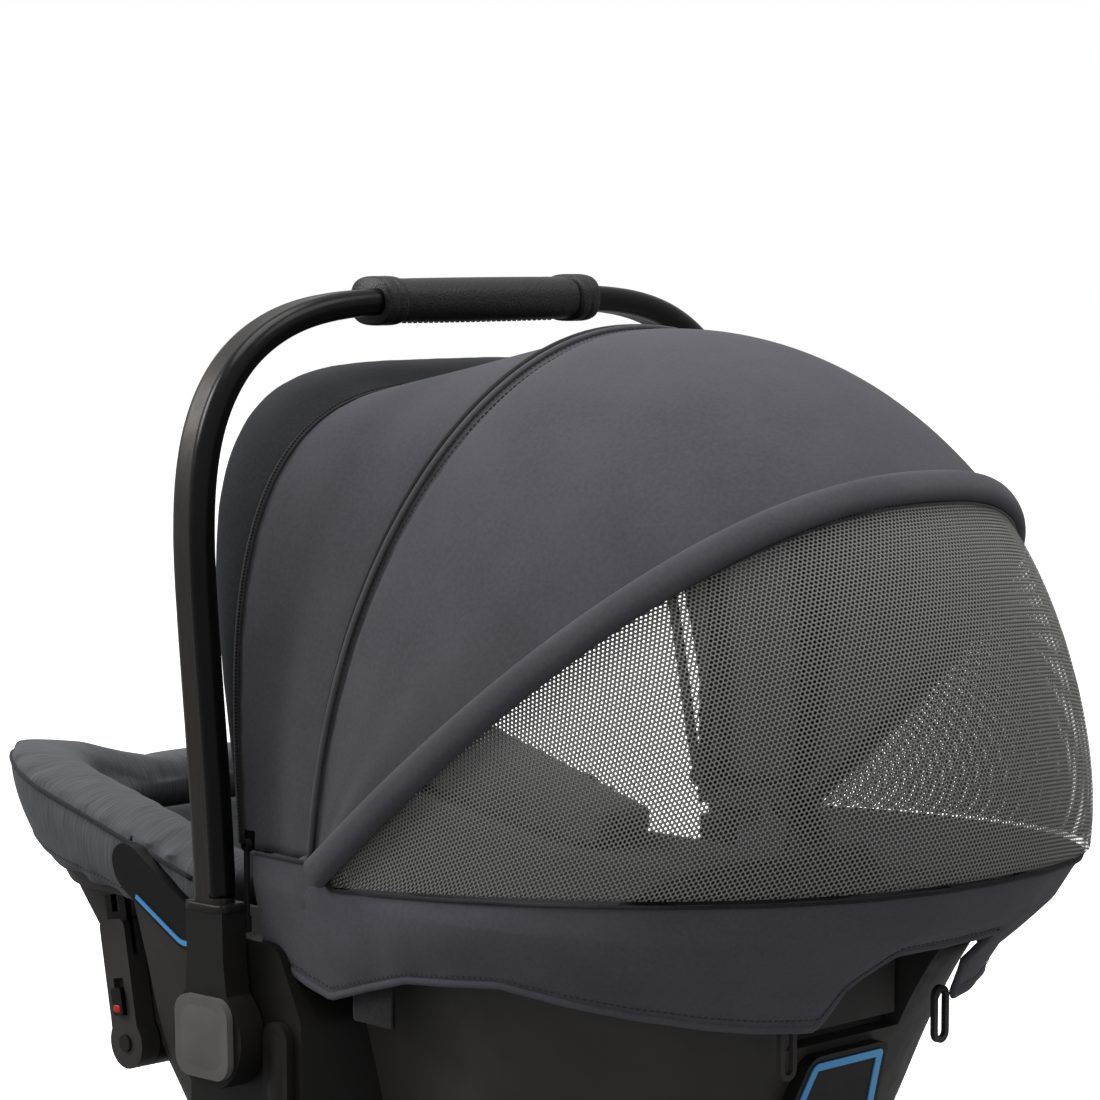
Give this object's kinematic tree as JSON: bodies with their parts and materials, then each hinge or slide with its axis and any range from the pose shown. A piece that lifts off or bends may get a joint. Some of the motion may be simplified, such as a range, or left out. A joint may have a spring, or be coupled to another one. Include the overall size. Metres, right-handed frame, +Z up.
{
  "type": "infant car seat",
  "caption": "Rear-facing infant carrier shell with upright carry handle, folding hooded canopy with mesh rear, padded foot bolster and swing-out anchor arms.",
  "frame": {"origin": "centre of the bounding box on the floor under the base skids", "axes": "+X across the seat (left and right nodes are +X and -X), +Y from the foot end to the head end, +Z up"},
  "size_m": [0.4298, 0.6667, 0.6035],
  "materials": {
    "shell_plastic": "moulded black-brown plastic, fine grain",
    "foam": "expanded bead foam",
    "body_fabric": "heathered grey knit",
    "canopy_fabric": "charcoal stretch canopy cloth",
    "visor_fabric": "darker edge cloth",
    "mesh": "open hexagonal net",
    "handle_paint": "satin dark anodised tube",
    "grip_leather": "black stitched leather",
    "badge": "satin grey cap",
    "steel": "plain steel",
    "blue": "blue moulded stripe",
    "webbing": "woven webbing",
    "red": "red moulded button",
    "rubber": "black rubber"
  },
  "bodies": {
    "seat": {"shell": "shell_plastic", "foam_liner": "foam", "seat_pad": "body_fabric", "leg_bolster": "body_fabric", "apron": "canopy_fabric", "base_skids": "shell_plastic", "hub_housing_left": "shell_plastic", "hub_housing_right": "shell_plastic", "hub_axles": "steel", "canopy_brackets": "shell_plastic", "canopy_pins": "steel", "side_belt_guides": "shell_plastic", "guide_stripes": "blue", "rear_belt_guide": "shell_plastic", "release_housing": "shell_plastic", "latch_bracket_left": "shell_plastic", "latch_bracket_right": "shell_plastic", "shoulder_straps": "webbing", "lap_straps": "webbing", "buckle_tongues": "steel", "crotch_strap": "webbing", "buckle": "shell_plastic", "harness_pads": "webbing", "chest_clip": "shell_plastic", "head_support": "body_fabric", "adjuster_housing": "shell_plastic", "adjuster_strap": "webbing", "tag_loops": "webbing", "hem_hooks": "shell_plastic", "zip_sliders": "steel", "mesh_panel": "mesh"},
    "handle": {"handle_tube": "handle_paint", "grip_sleeve": "grip_leather", "grip_bands": "grip_leather", "handle_leg_left": "shell_plastic", "handle_leg_right": "shell_plastic", "hub_badge_left": "badge", "hub_badge_right": "badge"},
    "handle_release_left": {"handle_release_left": "shell_plastic"},
    "handle_release_right": {"handle_release_right": "shell_plastic"},
    "rear_frame": {"rear_bow": "shell_plastic", "main_panel": "canopy_fabric"},
    "mid_frame": {"mid_bow": "shell_plastic"},
    "front_frame": {"front_bow": "shell_plastic", "front_panel": "canopy_fabric"},
    "visor": {"visor": "visor_fabric", "visor_bow": "shell_plastic"},
    "latch_arm_left": {"latch_arm_left": "shell_plastic", "latch_jaw_left": "steel"},
    "latch_arm_right": {"latch_arm_right": "shell_plastic", "latch_jaw_right": "steel"},
    "latch_button_left": {"latch_button_left": "red"},
    "latch_button_right": {"latch_button_right": "red"},
    "release_lever": {"release_lever": "shell_plastic"},
    "buckle_button": {"buckle_button": "red"},
    "adjuster_button": {"adjuster_button": "badge"},
    "zip_pull_left": {"zip_pull_left": "rubber"},
    "zip_pull_right": {"zip_pull_right": "rubber"}
  },
  "joints": [
    {"name": "handle_swing", "type": "hinge", "parent": "seat", "child": "handle", "pos_m": [0, -0.0515, 0.2], "axis": [1, 0, 0], "range_deg": [0, 103]},
    {"name": "handle_release_left_press", "type": "slide", "parent": "seat", "child": "handle_release_left", "axis": [-1, 0, 0], "range_m": [0, 0.003], "stiffness_N_per_m": 800},
    {"name": "handle_release_right_press", "type": "slide", "parent": "seat", "child": "handle_release_right", "axis": [1, 0, 0], "range_m": [0, 0.003], "stiffness_N_per_m": 800},
    {"name": "canopy_fold", "type": "hinge", "parent": "seat", "child": "rear_frame", "pos_m": [0, 0.0125, 0.288], "axis": [-1, 0, 0], "range_deg": [0, 28], "deforming": ["mesh_panel", "main_panel"]},
    {"name": "canopy_mid_fold", "type": "hinge", "parent": "rear_frame", "child": "mid_frame", "pos_m": [0, 0.0125, 0.288], "axis": [-1, 0, 0], "range_deg": [0, 34], "deforming": ["main_panel", "front_panel"]},
    {"name": "canopy_front_fold", "type": "hinge", "parent": "mid_frame", "child": "front_frame", "pos_m": [0, 0.0125, 0.288], "axis": [-1, 0, 0], "range_deg": [0, 12], "deforming": ["front_panel"]},
    {"name": "visor_fold", "type": "hinge", "parent": "front_frame", "child": "visor", "pos_m": [0, -0.0475, 0.3], "axis": [1, 0, 0], "range_deg": [0, 15], "deforming": ["visor"]},
    {"name": "latch_arm_left_turn", "type": "hinge", "parent": "seat", "child": "latch_arm_left", "pos_m": [0.14, -0.2045, 0.16], "axis": [1, 0, 0], "range_deg": [0, 79]},
    {"name": "latch_button_left_slide", "type": "slide", "parent": "latch_arm_left", "child": "latch_button_left", "axis": [0, -0.1909, 0.9816], "range_m": [0, 0.005], "stiffness_N_per_m": 400},
    {"name": "latch_arm_right_turn", "type": "hinge", "parent": "seat", "child": "latch_arm_right", "pos_m": [-0.14, -0.2045, 0.16], "axis": [1, 0, 0], "range_deg": [0, 79]},
    {"name": "latch_button_right_slide", "type": "slide", "parent": "latch_arm_right", "child": "latch_button_right", "axis": [0, -0.1909, 0.9816], "range_m": [0, 0.005], "stiffness_N_per_m": 400},
    {"name": "release_lever_pull", "type": "hinge", "parent": "seat", "child": "release_lever", "pos_m": [0, 0.2155, 0.249], "axis": [1, 0, 0], "range_deg": [0, 30], "stiffness_Nm_per_rad": 0.2},
    {"name": "buckle_button_press", "type": "slide", "parent": "seat", "child": "buckle_button", "axis": [0, 0.5199, -0.8542], "range_m": [0, 0.003], "stiffness_N_per_m": 600},
    {"name": "adjuster_button_press", "type": "slide", "parent": "seat", "child": "adjuster_button", "axis": [0, -0.7784, -0.6278], "range_m": [0, 0.003], "stiffness_N_per_m": 400},
    {"name": "zip_pull_left_swing", "type": "hinge", "parent": "seat", "child": "zip_pull_left", "pos_m": [0.1865, -0.0425, 0.302], "axis": [1, 0, 0], "range_deg": [-15, 15]},
    {"name": "zip_pull_right_swing", "type": "hinge", "parent": "seat", "child": "zip_pull_right", "pos_m": [-0.1865, -0.0425, 0.302], "axis": [1, 0, 0], "range_deg": [-15, 15]}
  ],
  "couplings": [
    {"joint": "canopy_mid_fold", "follows": "canopy_fold", "ratio": 1.2143},
    {"joint": "canopy_front_fold", "follows": "canopy_fold", "ratio": 0.42857}
  ]
}
